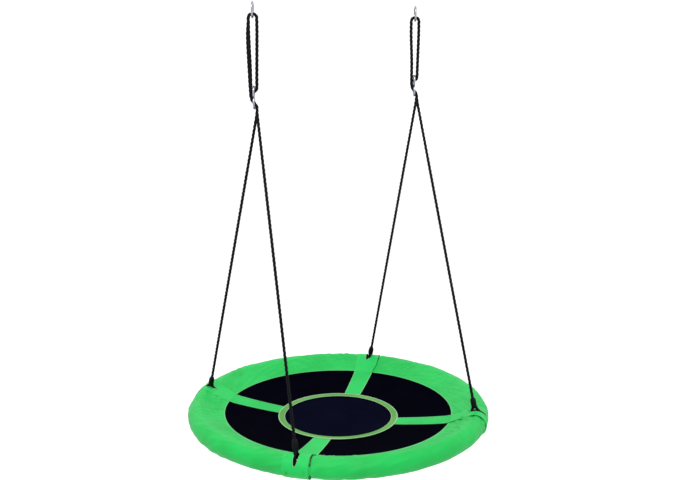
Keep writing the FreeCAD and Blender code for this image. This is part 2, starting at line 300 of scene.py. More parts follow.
# %% The swing's materials
OXFORD_WEAVE = 260.0
WEBBING_RIBS = 130.0
MAT_WEAVE = 200.0
TAPE_WEAVE = 400.0
THREAD_PLY = 900.0
GREEN = (0.006, 0.405, 0.072)
DEEP_GREEN = (0.004, 0.300, 0.046)
cover_cloth = woven("coated_green_cloth", DEEP_GREEN, GREEN, 0.5, OXFORD_WEAVE, sheen=0.0, specular=0.18)
patch_cloth = woven("green_patch_cloth", (0.005, 0.35, 0.060), (0.008, 0.415, 0.080), 0.5, OXFORD_WEAVE,
                    sheen=0.0, specular=0.18)
webbing = woven("green_webbing", (0.005, 0.31, 0.052), (0.012, 0.41, 0.080), 0.65, WEBBING_RIBS,
                sheen=0.02, strength=0.6, specular=0.15)
band_webbing = woven("olive_band_webbing", (0.045, 0.18, 0.030), (0.105, 0.28, 0.060), 0.65, WEBBING_RIBS,
                     sheen=0.02, specular=0.15)
mat_cloth = woven("black_mat_cloth", (0.0003, 0.0002, 0.0016), (0.0008, 0.0006, 0.0034), 0.9, MAT_WEAVE,
                  sheen=0.0, specular=0.005)
panel_cloth = woven("centre_panel_cloth", (0.0009, 0.0010, 0.0050), (0.0020, 0.0023, 0.0095), 0.9,
                    MAT_WEAVE, sheen=0.0, specular=0.005)
binding_cloth = woven("pale_binding", (0.16, 0.34, 0.16), (0.32, 0.50, 0.30), 0.7, TAPE_WEAVE, sheen=0.05)
seam_cloth = woven("seam_binding", (0.05, 0.33, 0.09), (0.13, 0.43, 0.16), 0.7, TAPE_WEAVE, sheen=0.02,
                   specular=0.15)
thread = woven("stitching_thread", (0.04, 0.40, 0.10), (0.10, 0.52, 0.17), 0.6, THREAD_PLY, sheen=0.05)
print("cloths", OXFORD_WEAVE, WEBBING_RIBS, MAT_WEAVE)

# %% [markdown]
# The hard parts keep the frame's own shapes. The wire is zinc plated, the sleeves are moulded, and
# the tube and foam inside the rim get plain materials, since the slots let them be seen.

# %% Metal, fibre and moulded polymer


def steel(name, colour):
    """Zinc plate: brushed along its length and slightly clouded."""
    material, nodes, links, shader = new_material(name, 0.28, metallic=1.0)
    place = mapped(nodes, links, "Object", (1, 1, 1))
    cloud = noise_value(nodes, links, place, 60.0, 4.0)
    grain = noise_value(nodes, links, mapped(nodes, links, "Object", (1, 1, 12)), 420.0, 2.0)
    darker = tuple(part * 0.72 for part in colour)
    links.new(ramp(nodes, links, cloud, [(0.3, darker), (0.7, colour)]), shader.inputs["Base Color"])
    links.new(math_node(nodes, links, "MULTIPLY_ADD", cloud, 0.3, 0.14), shader.inputs["Roughness"])
    bump(nodes, links, shader, grain, 0.15, 0.0002)
    return material


zinc = steel("zinc_plate", (0.36, 0.37, 0.41))


def fibre_rope(name):
    """Twisted polymer fibres: fine slanting yarns along each strand, with a little fluff."""
    material, nodes, links, shader = new_material(name, 0.45, specular=0.07)
    along = mapped(nodes, links, "UV", (1, 1, 1))
    slanted = mapped(nodes, links, "UV", (300.0, 2 * math.pi, 1.0))
    yarns = stripes(nodes, links, slanted, 1.0, "DIAGONAL")
    fluff = noise_value(nodes, links, along, 700.0, 3.0)
    tone = math_node(nodes, links, "ADD", math_node(nodes, links, "MULTIPLY", yarns, 0.6),
                     math_node(nodes, links, "MULTIPLY", fluff, 0.5))
    stops = [(0.2, (0.0004, 0.0004, 0.0007)), (0.9, (0.0050, 0.0050, 0.0070))]
    links.new(ramp(nodes, links, tone, stops), shader.inputs["Base Color"])
    bump(nodes, links, shader, tone, 0.5, 0.0004)
    return material


rope_fibre = fibre_rope("black_rope_fibre")


def moulded(name, colour, rough, specular=0.3):
    """Moulded polymer with a fine matt grain."""
    material, nodes, links, shader = new_material(name, rough, specular=specular)
    place = mapped(nodes, links, "Object", (1, 1, 1))
    cloud = noise_value(nodes, links, place, 90.0, 4.0)
    darker = tuple(part * 0.6 for part in colour)
    links.new(ramp(nodes, links, cloud, [(0.3, darker), (0.7, colour)]), shader.inputs["Base Color"])
    bump(nodes, links, shader, noise_value(nodes, links, place, 1400.0, 2.0), 0.25, 0.0002)
    return material


sleeve_polymer = moulded("sleeve_polymer", (0.002, 0.002, 0.003), 0.5, specular=0.08)
dark_steel = moulded("powder_coat", (0.02, 0.02, 0.022), 0.4)
foam_grey = moulded("foam_grey", (0.045, 0.045, 0.048), 0.9, specular=0.1)

# %% Materials for the frame's own parts
for name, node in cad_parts.items():
    material = None
    if name.endswith(("_ring", "_adjuster")) or name == "joint_screws":
        material = zinc
    elif name.startswith(("rim_tube", "tube_spigot")):
        material = dark_steel
    elif name.startswith("foam"):
        material = foam_grey
    if material:
        node.data.materials.clear()
        node.data.materials.append(material)
print(len(bpy.data.materials), "materials")

# %% [markdown]
# ## The ropes
# Four ropes carry the saucer. Each is one length: out of its crimped sleeve, straight up to the
# figure-eight adjuster, through its lower eye, up the side, over the ring, and back down into the
# adjuster's upper eye. The route is a smooth spline through a short list of points. The three
# strands then wind round that spline, so that the rope shows its lay as the real one does.

# %% Where the hardware stands
HARDWARE_TURN = math.radians(30)
ACROSS = Vector((math.cos(HARDWARE_TURN), -math.sin(HARDWARE_TURN), 0))
FORWARD = Vector((-math.sin(HARDWARE_TURN), -math.cos(HARDWARE_TURN), 0))
UP = Vector((0, 0, 1))
ROPE = 10 * MM
WIRE = 6 * MM
EYE_REACH = 16.5 * MM
WIRE_GAP = 0.8 * MM
UPPER_EYE_GAP = 0.6 * MM
BESIDE = WIRE / 2 + ROPE / 2 + WIRE_GAP
PAIR = ROPE / 2 + 0.2 * MM
BEND_RADIUS = 12.5 * MM
STRAND_SPLAY = 4 * MM
STRAIGHT = 60 * MM
SLEEVE_LOW = 42 * MM
SLEEVE_LENGTH = 34 * MM
SLEEVE_TOP = SLEEVE_LOW + SLEEVE_LENGTH
INSIDE_SLEEVE = 6 * MM
ROPE_STEP = 2.2 * MM


def middle(node):
    """The middle of a frame part's box."""
    low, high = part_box(node)
    return (low + high) / 2


def hardware_point(side, across, forward, height):
    """A point beside a ring's axis, following the hardware's turn."""
    ring = middle(side + "_ring")
    return Vector((ring.x, ring.y, 0)) + ACROSS * across + FORWARD * forward + UP * height


def rope_places(corner):
    """The main places of one corner's rope: anchor on the tube, knee under the adjuster."""
    side = corner.split("_")[0]
    forward = PAIR if corner.endswith("front") else -PAIR
    waist = middle(side + "_adjuster").z
    knee = hardware_point(side, BESIDE, forward, waist - 2.6 * EYE_REACH)
    anchor = polar(RIM_RADIUS, math.radians(CORNERS[corner]), RIM_Z)
    along = (knee - anchor).normalized()
    return side, forward, waist, knee, anchor, along


def rope_route(corner):
    """The route's points, from inside the sleeve to the end in the adjuster's upper eye."""
    side, forward, waist, knee, anchor, along = rope_places(corner)
    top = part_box("rope_bend_" + corner)[1].z - ROPE / 2
    splay = STRAND_SPLAY if corner == "left_front" else 0.0
    start = anchor + along * (SLEEVE_TOP - INSIDE_SLEEVE)
    return [
        start,
        anchor + along * (SLEEVE_TOP + STRAIGHT),
        knee - along * STRAIGHT,
        knee,
        hardware_point(side, BESIDE, forward, waist - 1.5 * EYE_REACH),
        hardware_point(side, -BESIDE, forward, waist - 0.5 * EYE_REACH),
        hardware_point(side, -BESIDE - splay / 2, forward, waist + 2.0 * EYE_REACH),
        hardware_point(side, -BESIDE - splay, forward, waist + 5.0 * EYE_REACH),
        hardware_point(side, -BEND_RADIUS - splay, forward, top - STRAIGHT),
        hardware_point(side, -BEND_RADIUS, forward, top - 2 * BEND_RADIUS),
        hardware_point(side, -BEND_RADIUS, forward, top),
        hardware_point(side, BEND_RADIUS, forward, top),
        hardware_point(side, BEND_RADIUS, forward, top - 2 * BEND_RADIUS),
        hardware_point(side, BEND_RADIUS, forward, top - STRAIGHT),
        hardware_point(side, BESIDE + UPPER_EYE_GAP, forward, waist + 3.0 * EYE_REACH),
        hardware_point(side, BESIDE + UPPER_EYE_GAP, forward, waist + EYE_REACH),
        hardware_point(side, -BESIDE / 3, forward, waist + EYE_REACH),
    ]


def spline_line(name, points):
    """The smooth line of a route, as points read from its spline, evenly spaced."""
    curve = bpy.data.curves.new(name + "_route", "CURVE")
    curve.dimensions = "3D"
    curve.resolution_u = 24
    spline = curve.splines.new("NURBS")
    spline.points.add(len(points) - 1)
    for slot_point, point in zip(spline.points, points):
        slot_point.co = (*point, 1)
    spline.order_u = 3
    spline.use_endpoint_u = True
    holder = bpy.data.objects.new(name + "_route", curve)
    bpy.context.scene.collection.objects.link(holder)
    bpy.context.view_layer.update()
    evaluated = holder.evaluated_get(bpy.context.evaluated_depsgraph_get())
    mesh = bpy.data.meshes.new_from_object(evaluated)
    line = [vertex.co.copy() for vertex in mesh.vertices]
    bpy.data.meshes.remove(mesh)
    bpy.data.objects.remove(holder)
    bpy.data.curves.remove(curve)
    return evenly(line, ROPE_STEP)


def evenly(line, step):
    """The same line with points a fixed step apart."""
    reach = [0.0]
    for first, second in zip(line, line[1:]):
        reach.append(reach[-1] + (second - first).length)
    count = max(8, round(reach[-1] / step))
    result = []
    index = 0
    for number in range(count + 1):
        goal = reach[-1] * number / count
        while index < len(reach) - 2 and reach[index + 1] < goal:
            index += 1
        share = (goal - reach[index]) / max(reach[index + 1] - reach[index], 1e-9)
        result.append(line[index].lerp(line[index + 1], min(max(share, 0), 1)))
    return result


def length_of(line):
    """Length of a line of points."""
    return sum((second - first).length for first, second in zip(line, line[1:]))


def frames_along(line):
    """A steady pair of side directions at each point of a line, carried without twist."""
    result = []
    side = None
    for index, point in enumerate(line):
        ahead = line[min(index + 1, len(line) - 1)] - line[max(index - 1, 0)]
        ahead.normalize()
        if side is None:
            side = ahead.orthogonal().normalized()
        side = (side - ahead * side.dot(ahead)).normalized()
        result.append((point, side, ahead.cross(side)))
    return result


# %% [markdown]
# A three-strand rope has round strands that touch in the middle. If the whole rope has radius 1,
# each strand has radius 0.464 and its centre runs at 0.536. The strands make a full turn about
# every four rope diameters.

# %% Twisting strands round a line
STRANDS = 3
STRAND_SHARE = 1 / (1 + 2 / math.sqrt(3))
SIDES = 9


def twisted_rope(name, line, diameter=ROPE, lay=4.2):
    """Strands wound round a line as one mesh, with closed round ends."""
    strand = diameter / 2 * STRAND_SHARE * 1.04
    offset = diameter / 2 - strand
    mesh = bpy.data.meshes.new(name)
    piece = bpy.data.objects.new(name, mesh)
    bpy.context.scene.collection.objects.link(piece)
    shape = bmesh.new()
    layer = shape.loops.layers.uv.new("UVMap")
    stations = frames_along(line)
    run = length_of(line) / (len(line) - 1)
    for number in range(STRANDS):
        centres = []
        for index, (point, side, other) in enumerate(stations):
            turn = 2 * math.pi * (number / STRANDS + index * run / (lay * diameter))
            centres.append(point + side * offset * math.cos(turn) + other * offset * math.sin(turn))
        rings = []
        for centre, side, other in frames_along(centres):
            ring = []
            for corner in range(SIDES):
                around = 2 * math.pi * corner / SIDES
                away = side * math.cos(around) + other * math.sin(around)
                ring.append(shape.verts.new(centre + away * strand))
            rings.append(ring)
        for index in range(len(rings) - 1):
            for corner in range(SIDES):
                after = (corner + 1) % SIDES
                face = shape.faces.new((rings[index][corner], rings[index][after],
                                        rings[index + 1][after], rings[index + 1][corner]))
                face.smooth = True
                spots = ((index, corner), (index, corner + 1), (index + 1, corner + 1), (index + 1, corner))
                for loop, (far, round_about) in zip(face.loops, spots):
                    loop[layer].uv = (far * run, round_about / SIDES)
        for ring, step in ((rings[0], -1), (rings[-1], 1)):
            cap = shape.faces.new(ring[::step])
            cap.smooth = True
    bmesh.ops.recalc_face_normals(shape, faces=shape.faces)
    shape.to_mesh(mesh)
    shape.free()
    return piece


# %% Making the four ropes
for corner in CORNERS:
    side = corner.split("_")[0]
    line = spline_line("rope_" + corner, rope_route(corner))
    rope = twisted_rope("rope_" + corner, line)
    dress(rope, rope_fibre, side + "_ropes")
    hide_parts("rope_leg_" + corner, "rope_bend_" + corner, "rope_tail_" + corner)
    print(rope.name, "length", round(length_of(line), 3))

# %% [markdown]
# ## Rope eyes and sleeves
# The rope's end goes through the slot, round the steel tube and back up, and a crimped sleeve
# closes the eye. The sleeve is turned like a small barrel: rounded ends and a slight waist where
# the crimping tool has pressed it.

# %% Eyes
EYE_HALF = [(5.0, 48.0), (6.0, 40.0), (26.5, 10.0), (24.0, -8.0), (15.0, -22.0)]
EYE_BOTTOM = (0.0, -22.6)


def eye_line(corner):
    """The eye's line: down from the sleeve, round the tube, and up again."""
    anchor, along = rope_places(corner)[4:]
    outwards = polar(1, math.radians(CORNERS[corner]), 0)
    level = (outwards - along * outwards.dot(along)).normalized()
    outline = EYE_HALF + [EYE_BOTTOM] + [(-across, height) for across, height in reversed(EYE_HALF)]
    return [anchor + level * across * MM + along * height * MM for across, height in outline]


for corner in CORNERS:
    line = spline_line("eye_" + corner, eye_line(corner))
    eye = twisted_rope("rope_eye_loop_" + corner, line)
    dress(eye, rope_fibre, "saucer")
    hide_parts("rope_eye_" + corner)
    print(eye.name, "length", round(length_of(line), 3))

# %% Sleeves
SLEEVE_RADIUS = 9.5 * MM
END_SHARE = 0.64
PRESSED_DEPTH = 0.05
PRESSED_WIDTH = 0.05
CUTS = 24


def sleeve(corner):
    """A crimped sleeve: a cylinder drawn into a barrel, with a pressed band round its middle."""
    anchor, along = rope_places(corner)[4:]
    deselect()
    bpy.ops.mesh.primitive_cylinder_add(vertices=48, radius=SLEEVE_RADIUS, depth=SLEEVE_LENGTH,
                                        end_fill_type="NGON")
    piece = bpy.context.object
    piece.name = "sleeve_" + corner
    bpy.ops.object.mode_set(mode="EDIT")
    bpy.ops.mesh.select_all(action="SELECT")
    shape = bmesh.from_edit_mesh(piece.data)
    for step in range(1 - CUTS // 2, CUTS // 2):
        bmesh.ops.bisect_plane(shape, geom=shape.verts[:] + shape.edges[:] + shape.faces[:],
                               plane_co=(0, 0, step / CUTS * SLEEVE_LENGTH), plane_no=(0, 0, 1))
    for vertex in shape.verts:
        share = vertex.co.z / SLEEVE_LENGTH
        at_end = abs(share) > 0.499
        barrel = 0.6 if at_end else END_SHARE + (1 - END_SHARE) * math.cos(math.pi * share) ** 0.55
        pressed = PRESSED_DEPTH * math.exp(-(share / PRESSED_WIDTH) ** 2)
        vertex.co.x *= barrel - pressed
        vertex.co.y *= barrel - pressed
    bmesh.update_edit_mesh(piece.data)
    bpy.ops.object.mode_set(mode="OBJECT")
    edge = piece.modifiers.new("edge", "BEVEL")
    edge.width = 0.8 * MM
    edge.segments = 3
    edge.limit_method = "ANGLE"
    edge.angle_limit = math.radians(60)
    apply_modifiers(piece)
    turn = along.to_track_quat("Z", "Y").to_matrix().to_4x4()
    turn.translation = anchor + along * (SLEEVE_LOW + SLEEVE_LENGTH / 2)
    piece.data.transform(turn)
    smooth(piece, 50)
    dress(piece, sleeve_polymer)
    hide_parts("ferrule_" + corner)
    return piece


for corner in CORNERS:
    print(sleeve(corner).name, "made")

# %% [markdown]
# ## The padded cover
# The rim's cover is one cloth sewn to the mat's edge, pulled up over the foam and round to the
# mat's underside, so its section is a drop: round outside, running in flat to the mat. We describe
# that drop once, as a line walked from the upper seam to the lower one, and lay every cover cloth
# and patch on it. Where the cloth is pulled round a curve it puckers, so the surface gets fine
# radial creases, deepest next to the seam and beside the patches.

# %% The drop-shaped section
SEAM_LIFT = 3 * MM
UNDER_SEAM = 424 * MM


def rim_section(grow=0.0, lift=SEAM_LIFT, count=96):
    """The section's line as (radius, height) pairs at even steps, from upper to lower seam."""
    radius = SECTION + grow
    start = Vector((FLAP_EDGE - grow, mat_height(FLAP_EDGE) - RIM_Z + lift))
    finish = Vector((UNDER_SEAM, mat_height(UNDER_SEAM) - RIM_Z - 5 * MM - grow))
    centre = Vector((RIM_RADIUS, 0))
    upper = start - centre
    lower = finish - centre
    first = math.atan2(upper.y, upper.x) - math.acos(radius / upper.length)
    last = math.atan2(lower.y, lower.x) + math.acos(radius / lower.length)
    first %= 2 * math.pi
    last = last % (2 * math.pi) - 2 * math.pi
    arc = [centre + Vector((math.cos(turn), math.sin(turn))) * radius
           for turn in (first + (last - first) * step / 80 for step in range(81))]
    corners = [start] + arc + [finish]
    reach = [0.0]
    for before, after in zip(corners, corners[1:]):
        reach.append(reach[-1] + (after - before).length)
    line = []
    index = 0
    for number in range(count + 1):
        goal = reach[-1] * number / count
        while index < len(reach) - 2 and reach[index + 1] < goal:
            index += 1
        share = (goal - reach[index]) / (reach[index + 1] - reach[index])
        line.append(corners[index].lerp(corners[index + 1], share))
    return line, reach[-1]


def on_section(line, share):
    """Point and outward normal of a section line at a share of its length."""
    place = min(max(share, 0.0), 1.0) * (len(line) - 1)
    index = min(int(place), len(line) - 2)
    point = line[index].lerp(line[index + 1], place - index)
    before = line[max(index - 1, 0)]
    after = line[min(index + 2, len(line) - 1)]
    run = (after - before).normalized()
    return point, Vector((-run.y, run.x))


SECTION_LINE, SECTION_LENGTH = rim_section()
PATCH_LINE, PATCH_LENGTH = rim_section(grow=2.6 * MM, lift=SEAM_LIFT + 0.8 * MM)


def share_at(line, radius):
    """Share of a section line's length where its upper side reaches a distance from the middle."""
    index = next(number for number, point in enumerate(line) if point.x >= radius)
    return index / (len(line) - 1)


print("cover cloth is", round(SECTION_LENGTH, 3), "m wide round the section")

# %% [markdown]
# The creases are waves across the cloth: puckers along the seam, slanting folds pulled by the
# ropes, and looser drags on the outer face. A broad noise lets the padding swell and sink a
# little, as foam under a tight cover does. No fold may reach down into the foam.

# %% Creases
CREASE_SEED = 11.3
PUCKER_STEP = 17 * MM
STRAIN_STEP = 27 * MM
FREE_DEPTH = 0.6 * MM
LAST_DEPTH = 0.8 * MM


def soft_step(value):
    """0 below nought, 1 above one, smooth between."""
    value = min(max(value, 0.0), 1.0)
    return value * value * (3 - 2 * value)


def bell(value, middle, width):
    """1 at the middle, fading smoothly to both sides."""
    return math.exp(-((value - middle) / width) ** 2)


def waves(x, y, layer=0):
    """Smooth noise between about -1 and 1; each layer has its own pattern."""
    return noise.noise(Vector((x, y, CREASE_SEED + layer)))


def above_foam(stand):
    """A fold's depth, held back so that it never sinks into the foam."""
    if stand > -FREE_DEPTH:
        return stand
    return -FREE_DEPTH - LAST_DEPTH * (1 - math.exp((stand + FREE_DEPTH) / LAST_DEPTH))


def pull_folds(along, across, share, to_corner, sway):
    """Slanting folds that run from a patch, where the rope pulls the cloth; about -1 to 1."""
    pulled = 0.45 + 0.55 * bell(to_corner, 90 * MM, 90 * MM)
    patchy = soft_step(0.55 + 1.8 * waves(along * 11, across * 16, 57))
    line = (0.80 * to_corner - 0.60 * across) / STRAIN_STEP
    return math.sin(2 * math.pi * line + 2.4 * sway) * pulled * bell(share, 0.24, 0.18) * patchy


def crease(angle, share, to_corner):
    """How far the cloth stands out at a place, in metres; to_corner is the distance to a patch."""
    near_seam = math.exp(-share * 5.0)
    beside_patch = math.exp(-to_corner / (50 * MM))
    along = angle * RIM_RADIUS
    across = share * SECTION_LENGTH
    loose = soft_step(0.5 + 2.2 * waves(along * 4.2, 0.7, 3))
    sway = 2.4 * waves(along * 16, share * 3.4, 43)
    pucker = math.sin(2 * math.pi * along / PUCKER_STEP + sway) * loose * bell(share, 0.10, 0.12)
    folds = waves(along * 42, share * 4.0) * (0.6 + 1.4 * near_seam + 1.2 * beside_patch)
    fine = waves(along * 110, share * 9.0, 7) * (0.3 + 0.5 * near_seam)
    broad = waves(along * 9, share * 3.0, 19)
    slant = waves(along * 26 + share * 22, share * 7.0 - along * 6, 31) * (1.6 + 2.4 * beside_patch)
    drag = waves(along * 34 + share * 9, share * 2.6, 71) * bell(share, 0.58, 0.16)
    pull = pull_folds(along, across, share, to_corner, sway)
    return MM * (0.6 * pucker + 2.5 * pull + folds * (0.4 + loose) + fine + 1.5 * broad + slant
                 + 2.6 * drag * (0.3 + loose))


print("a crease stands out by", round(crease(1.0, 0.3, 0.1) / MM, 2), "mm at one place")

# %% [markdown]
# One cover cloth spans a quarter of the rim. Its ends dip under the patches, and where a patch is
# sewn down on one side only, a groove stays open beside it.

# %% Cover cloths
PATCH_HALF = 41 * MM
STRAP_HALF = 34 * MM
UNDER_PATCH = 0.45 * PATCH_HALF
COVER_WALL = 1.4 * MM
GROOVE_DEPTH = 2.6 * MM
GROOVE_WIDTH = 2.4 * MM
GROOVE_AWAY = 1 * MM
OPEN_SIDE = {"right_back": -1, "left_back": -1, "left_front": 1, "right_front": -1}


def ring_point(point, angle):
    """A section point turned to its place round the rim."""
    return polar(point.x, angle, RIM_Z + point.y)


def toward_ends(u):
    """Columns drawn together near both ends, where the cloth dips under the patches."""
    return u - 0.8 * math.sin(2 * math.pi * u) / (2 * math.pi)


def cover(number, corner, following):
    """One quarter of the cover, from under one patch to under the next."""
    start_gap = OPEN_SIDE[corner] > 0
    end_gap = OPEN_SIDE[following] < 0
    begin = math.radians(CORNERS[corner]) + (PATCH_HALF - UNDER_PATCH) / RIM_RADIUS
    sweep = math.radians(90) - 2 * (PATCH_HALF - UNDER_PATCH) / RIM_RADIUS

    def place(u, v):
        share = toward_ends(u)
        angle = begin + sweep * share
        from_start = share * sweep * RIM_RADIUS - UNDER_PATCH
        from_end = (1 - share) * sweep * RIM_RADIUS - UNDER_PATCH
        point, normal = on_section(SECTION_LINE, v)
        stand = above_foam(crease(angle, v, max(min(from_start, from_end), 0.0)))
        for distance, has_gap in ((from_start, start_gap), (from_end, end_gap)):
            if has_gap:
                stand -= GROOVE_DEPTH * bell(distance, GROOVE_AWAY, GROOVE_WIDTH) * soft_step(v * 12 - 0.8)
        tuck = min(min(v, 1 - v) * 18, 1.0)
        return ring_point(point + normal * stand * tuck, angle)

    def spread(u, v):
        return toward_ends(u) * sweep * RIM_RADIUS, v * SECTION_LENGTH

    piece = cloth(f"cover_{number}", 230, 96, place, spread)
    thicken(piece, COVER_WALL, offset=AHEAD)
    smooth(piece, 60)
    dress(piece, cover_cloth)
    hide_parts(f"rim_cover_{number}", f"cover_flap_{number}")
    return piece


corner_names = list(CORNERS)
for number, corner in enumerate(corner_names, start=1):
    made = cover(number, corner, corner_names[number % 4])
    print(made.name, len(made.data.polygons), "faces")

# %% [markdown]
# ## Patches
# A second layer of cloth wraps the rim at each rope. Its edges are hemmed, so they stand a little
# proud of the cover, and the rope goes in through a slot across the top. We leave the slot's faces
# out of the grid. Its edge gets a pale overlocked border further on.

# %% Patches with their slots
SLOT_HALF = 8 * MM
SLOT_TIP = 2.8 * MM
PATCH_WALL = 1.6 * MM
SLOT_SPAN = (share_at(PATCH_LINE, RIM_RADIUS - 31 * MM), share_at(PATCH_LINE, RIM_RADIUS + 33 * MM))


def slot_half(share):
    """Half the slot's width: a slit at its ends, spread open by the rope between them."""
    along = 2 * (share - SLOT_SPAN[0]) / (SLOT_SPAN[1] - SLOT_SPAN[0]) - 1
    return SLOT_TIP + (SLOT_HALF - SLOT_TIP) * max(1 - abs(along) ** 3, 0.0)


def patch_width(share):
    """Half the patch's width: as the strap at the seam, wider on the rim."""
    return STRAP_HALF + (PATCH_HALF - STRAP_HALF) * soft_step((share - 0.02) / 0.16)


def patch_point(corner, across, share, lift=0.0):
    """A place on a patch: metres across from its middle line, share of the section's length."""
    point, normal = on_section(PATCH_LINE, share)
    middle_angle = math.radians(CORNERS[corner])
    angle = middle_angle + across / point.x
    to_open = patch_width(share) - OPEN_SIDE[corner] * across
    to_sewn = patch_width(share) + OPEN_SIDE[corner] * across
    ripple = 0.7 * MM * noise.noise(Vector((across * 60, share * 14, middle_angle * 3)))
    hem = MM * (1.3 * bell(to_open, 0, 5 * MM) - 1.9 * bell(to_sewn, 0, 6 * MM))
    in_slot = SLOT_SPAN[0] - 0.01 < share < SLOT_SPAN[1] + 0.01
    lip = 1.2 * MM * bell(abs(across), slot_half(share), 5 * MM) if in_slot else 0.0
    return ring_point(point + normal * (ripple + hem + lip + lift), angle)


def patch(corner):
    """One wrapped patch with an open slot."""

    def place(u, v):
        return patch_point(corner, (2 * u - 1) * patch_width(v), v)

    piece = cloth("patch_cloth_" + corner, 64, 130, place, (2 * PATCH_HALF, PATCH_LENGTH))
    shape = bmesh.new()
    shape.from_mesh(piece.data)
    layer = shape.loops.layers.uv.active
    inside = []
    for face in shape.faces:
        middle_u = sum(loop[layer].uv.x for loop in face.loops) / len(face.loops) / (2 * PATCH_HALF)
        middle_v = sum(loop[layer].uv.y for loop in face.loops) / len(face.loops) / PATCH_LENGTH
        across = abs(2 * middle_u - 1) * patch_width(middle_v)
        if SLOT_SPAN[0] < middle_v < SLOT_SPAN[1] and across < slot_half(middle_v):
            inside.append(face)
    bmesh.ops.delete(shape, geom=inside, context="FACES")
    shape.to_mesh(piece.data)
    shape.free()
    thicken(piece, PATCH_WALL, offset=AHEAD)
    smooth(piece, 50)
    dress(piece, patch_cloth)
    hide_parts("patch_" + corner)
    return piece


for corner in CORNERS:
    print(patch(corner).name, "made")

# %% [markdown]
# ## The mat
# The mat is four padded black panels and a round centre panel. Each panel's cloth is cut flat and
# lies in the shallow dish; the padding lifts its middle by a few millimetres, and its edges are
# held down by the seams under the straps.

# %% Mat panels
MAT_WALL = 3 * MM
BAND_MIDDLE = (BAND_INNER + BAND_OUTER) / 2


def puff(share_across, share_along, height):
    """Padding's lift: nothing at the seams, even in the middle."""
    across = min(1.0, 6 * min(share_across, 1 - share_across))
    along = min(1.0, 6 * min(share_along, 1 - share_along))
    return height * math.sin(math.pi / 2 * across) * math.sin(math.pi / 2 * along)


def mat_panel(number, first_corner):
    """A quarter of the mat between two straps."""
    begin = math.radians(first_corner)

    def place(u, v):
        angle = begin + math.radians(90) * u
        radius = BAND_MIDDLE + (MAT_EDGE - 6 * MM - BAND_MIDDLE) * v
        ripple = 0.7 * MM * noise.noise(Vector((radius * 22, angle * 7, 4.2)))
        return polar(radius, angle, mat_height(radius) + puff(u, v, 1.6 * MM) + ripple - 0.6 * MM)

    width = math.radians(90) * (BAND_MIDDLE + MAT_EDGE) / 2
    piece = cloth(f"mat_cloth_{number}", 80, 40, place, (width, MAT_EDGE - BAND_MIDDLE))
    thicken(piece, MAT_WALL, offset=AHEAD)
    smooth(piece, 60)
    dress(piece, mat_cloth)
    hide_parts(f"mat_panel_{number}")
    return piece


for number, angle in enumerate(CORNERS.values(), start=1):
    print(mat_panel(number, angle).name, "made")

# %% [markdown]
# The centre panel starts as a square grid whose points are drawn to a disc, so its weave stays
# straight.

# %% Centre panel


def disc_point(u, v, radius):
    """A square's point moved to a disc, keeping the weave straight."""
    x = 2 * u - 1
    y = 2 * v - 1
    return x * math.sqrt(1 - y * y / 2) * radius, y * math.sqrt(1 - x * x / 2) * radius


def centre_place(u, v):
    """The round centre panel's surface."""
    x, y = disc_point(u, v, BAND_MIDDLE)
    radius = math.hypot(x, y)
    lift = 1.8 * MM * math.sin(math.pi / 2 * min(1.0, 5 * (1 - radius / BAND_MIDDLE)))
    ripple = 0.6 * MM * noise.noise(Vector((x * 20, y * 20, 8.0)))
    return Vector((x, y, mat_height(radius) + lift + ripple - 0.6 * MM))


centre = cloth("centre_cloth", 64, 64, centre_place, (0.381, 0.381))
thicken(centre, MAT_WALL)
smooth(centre, 60)
dress(centre, panel_cloth)
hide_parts("centre_panel")
print(centre.name, "made")

# %% [markdown]
# ## Straps, centre band and bindings
# The webbing straps and the centre band lie on the mat's seams. A pale binding folds over every
# edge where green meets black, which draws the thin light line round each panel.

# %% Straps
STRAP_RISE = 2.6 * MM
STRAP_WALL = 2 * MM
UNDER_PATCH_RISE = 1.6 * MM
UNDER_PATCH_RUN = 25 * MM


def strap_rise(radius):
    """A strap's height over the mat: it climbs a little where it runs under the patch."""
    share = (radius - FLAP_EDGE + UNDER_PATCH_RUN) / UNDER_PATCH_RUN
    return STRAP_RISE + UNDER_PATCH_RISE * soft_step(share)


def strap_half(radius):
    """Half a strap's width at a distance from the middle."""
    share = (radius - BAND_OUTER) / (MAT_EDGE - BAND_OUTER)
    return 27.5 * MM + 6.5 * MM * share


def strap_point(degrees, across, radius, rise):
    """A place on a strap: metres across from its middle line."""
    angle = math.radians(degrees)
    forward = polar(radius, angle, 0)
    sideways = polar(across, angle + math.pi / 2, 0)
    point = forward + sideways
    point.z = mat_height(point.length) + rise
    return point


def strap(corner, degrees):
    """One webbing strap from the centre band to the rim's patch."""
    inner = BAND_OUTER - 6 * MM
    outer = FLAP_EDGE + 5 * MM

    def place(u, v):
        radius = inner + (outer - inner) * v
        across = (2 * u - 1) * strap_half(radius)
        crown = 0.8 * MM * (1 - (2 * u - 1) ** 2)
        ripple = 0.5 * MM * noise.noise(Vector((across * 30, radius * 26, degrees)))
        return strap_point(degrees, across, radius, strap_rise(radius) + crown + ripple)

    piece = cloth("strap_webbing_" + corner, 16, 60, place, (0.06, outer - inner))
    thicken(piece, STRAP_WALL, offset=AHEAD, bevel=0.6 * MM)
    smooth(piece, 45)
    dress(piece, webbing)
    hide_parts("strap_" + corner)
    return piece


for corner, degrees in CORNERS.items():
    print(strap(corner, degrees).name, "made")

# %% [markdown]
# A binding is a narrow tape that follows a line over the cloth. We lay a thin grid along the line,
# crowned across its width, and let a modifier give it thickness.

# %% Bindings


